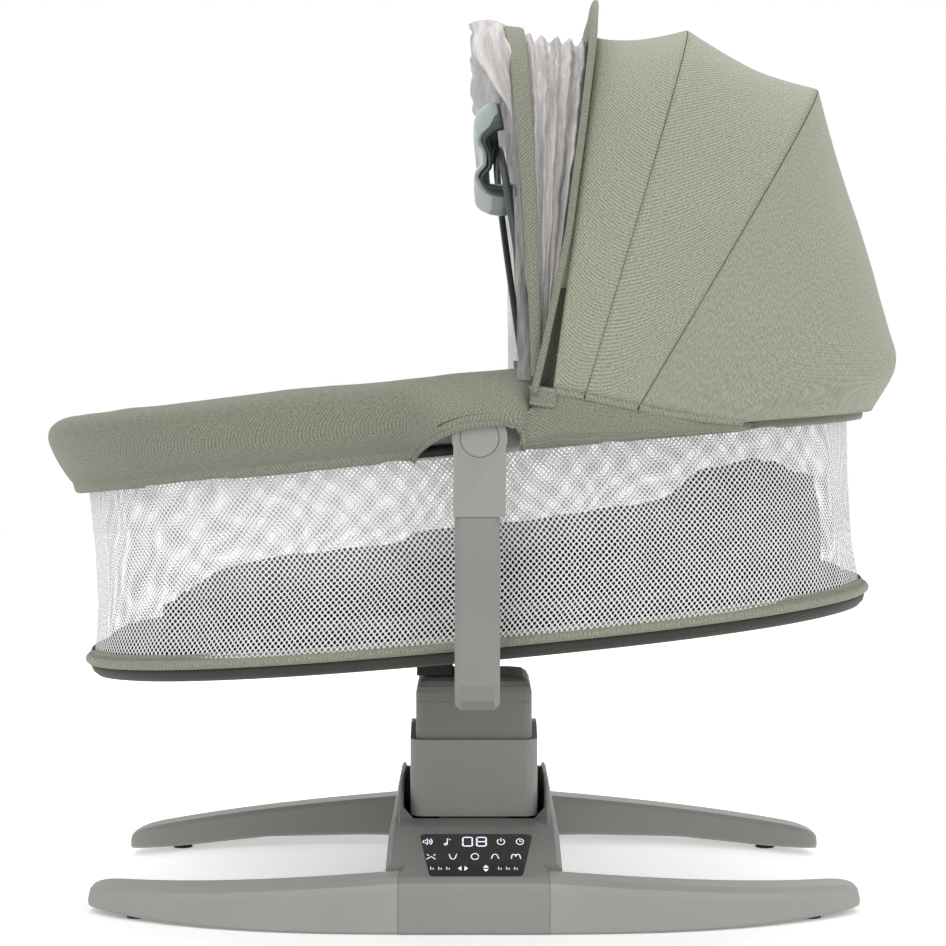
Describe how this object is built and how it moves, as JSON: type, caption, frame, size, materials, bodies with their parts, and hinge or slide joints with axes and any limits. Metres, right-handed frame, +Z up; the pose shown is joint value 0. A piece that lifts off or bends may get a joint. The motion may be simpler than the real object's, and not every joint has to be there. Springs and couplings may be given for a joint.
{
  "type": "baby swing",
  "caption": "Baby swing: a mesh-sided bassinet with folding canopy, net and toy bar, held by a yoke on a swaying and lifting column over a low four-legged base",
  "frame": {"origin": "on the floor, under the middle of the column", "axes": "+X to the head end with the canopy, +Y away from the control panel side, +Z up"},
  "size_m": [0.8271, 0.57, 0.8607],
  "materials": {
    "shell": "satin grey-green moulded plastic",
    "shell_dark": "satin grey-green moulded plastic, a shade darker",
    "rubber": "matt black rubber",
    "black_panel": "glossy black panel with light marks",
    "board": "green circuit board",
    "black": "matt black plastic",
    "steel": "plain steel",
    "gear": "natural nylon",
    "tube_metal": "drawn tube",
    "sage_fabric": "sage green twill",
    "sage_fabric_dark": "sage green piping",
    "white_mesh": "white knitted mesh",
    "charcoal": "charcoal covered board",
    "grey_fabric": "dark grey padded cloth",
    "gauze": "thin pinkish grey gauze",
    "teal": "smooth grey-teal plastic"
  },
  "bodies": {
    "base": {"base_body": "shell", "base_bottom_plate": "shell_dark", "leg_front_foot_end": "shell", "leg_front_head_end": "shell", "leg_rear_foot_end": "shell", "leg_rear_head_end": "shell", "foot_pad_front_foot_end": "rubber", "foot_pad_front_head_end": "rubber", "foot_pad_rear_foot_end": "rubber", "foot_pad_rear_head_end": "rubber", "control_panel": "black_panel", "circuit_board": "board", "speaker": "black", "power_inlet": "black", "sway_axle": "steel", "axle_bracket_front": "steel", "axle_bracket_rear": "steel", "sway_motor": "steel"},
    "pinion": {"sway_pinion": "gear"},
    "column_lower": {"rocker_frame": "steel", "sway_sector_gear": "gear", "column_lower_sleeve": "shell_dark", "lift_actuator_body": "steel"},
    "column_upper": {"lift_actuator_rod": "steel", "column_upper_tube": "shell_dark", "column_head": "shell", "yoke_saddle": "black", "saddle_screw_1": "steel", "saddle_screw_2": "steel", "yoke_arm_front": "shell_dark", "yoke_arm_rear": "shell_dark", "hub_casing_front": "shell", "hub_casing_rear": "shell", "button_spring_front": "steel", "button_spring_rear": "steel"},
    "button_front": {"hub_button_front": "shell"},
    "button_rear": {"hub_button_rear": "shell"},
    "bassinet": {"rim_frame": "tube_metal", "rim_cover": "sage_fabric", "mesh_wall": "white_mesh", "floor_piping": "sage_fabric_dark", "floor_board": "charcoal", "mattress": "white_mesh", "seat_insert": "grey_fabric", "hub_socket_front": "shell_dark", "hub_socket_rear": "shell_dark", "canopy_hinge_mount_front": "shell_dark", "canopy_hinge_mount_rear": "shell_dark", "toy_bar_mount_front": "shell_dark", "toy_bar_mount_rear": "shell_dark", "canopy_rear_panel": "sage_fabric"},
    "canopy_rear": {"canopy_rear_bow": "shell_dark", "canopy_middle_panel": "sage_fabric"},
    "canopy_middle": {"canopy_middle_bow": "shell_dark", "canopy_front_panel": "sage_fabric"},
    "canopy_front": {"canopy_front_bow": "shell_dark", "canopy_visor": "sage_fabric", "insect_net": "gauze"},
    "toy_bar": {"toy_bar_arch": "teal", "toy_bar_bridge": "teal"}
  },
  "joints": [
    {"name": "sway", "type": "hinge", "parent": "base", "child": "column_lower", "pos_m": [0, 0, 0.025], "axis": [0, 1, 0], "range_deg": [-4, 4]},
    {"name": "pinion_spin", "type": "hinge", "parent": "base", "child": "pinion", "pos_m": [-0.053, 0, 0.025], "axis": [0, 1, 0], "range_deg": [-20, 20]},
    {"name": "lift", "type": "slide", "parent": "column_lower", "child": "column_upper", "axis": [0, 0, 1], "range_m": [-0.02, 0.025]},
    {"name": "tilt", "type": "hinge", "parent": "column_upper", "child": "bassinet", "pos_m": [0.005, 0, 0.446], "axis": [0, 1, 0], "range_deg": [-2, 5.3]},
    {"name": "button_front_press", "type": "slide", "parent": "column_upper", "child": "button_front", "axis": [0, 1, 0], "range_m": [0, 0.003], "stiffness_N_per_m": 900, "springref_m": -0.002, "deforming": ["button_spring_front"]},
    {"name": "button_rear_press", "type": "slide", "parent": "column_upper", "child": "button_rear", "axis": [0, -1, 0], "range_m": [0, 0.003], "stiffness_N_per_m": 900, "springref_m": -0.002, "deforming": ["button_spring_rear"]},
    {"name": "canopy_rear_fold", "type": "hinge", "parent": "bassinet", "child": "canopy_rear", "pos_m": [0.07821, 0, 0.45787], "axis": [0, 1, 0], "range_deg": [0, 38], "deforming": ["canopy_rear_panel"]},
    {"name": "canopy_middle_fold", "type": "hinge", "parent": "canopy_rear", "child": "canopy_middle", "pos_m": [0.07821, 0, 0.45787], "axis": [0, 1, 0], "range_deg": [0, 15], "deforming": ["canopy_middle_panel"]},
    {"name": "canopy_front_fold", "type": "hinge", "parent": "canopy_middle", "child": "canopy_front", "pos_m": [0.07821, 0, 0.45787], "axis": [0, 1, 0], "range_deg": [0, 7.5], "deforming": ["canopy_front_panel"]},
    {"name": "toy_bar_fold", "type": "hinge", "parent": "bassinet", "child": "toy_bar", "pos_m": [0.05381, 0, 0.51484], "axis": [0, 1, 0], "range_deg": [-65, 0]}
  ],
  "couplings": [
    {"joint": "pinion_spin", "follows": "sway", "ratio": -4.8889},
    {"joint": "canopy_middle_fold", "follows": "canopy_rear_fold", "ratio": 0.3947},
    {"joint": "canopy_front_fold", "follows": "canopy_rear_fold", "ratio": 0.1973}
  ]
}
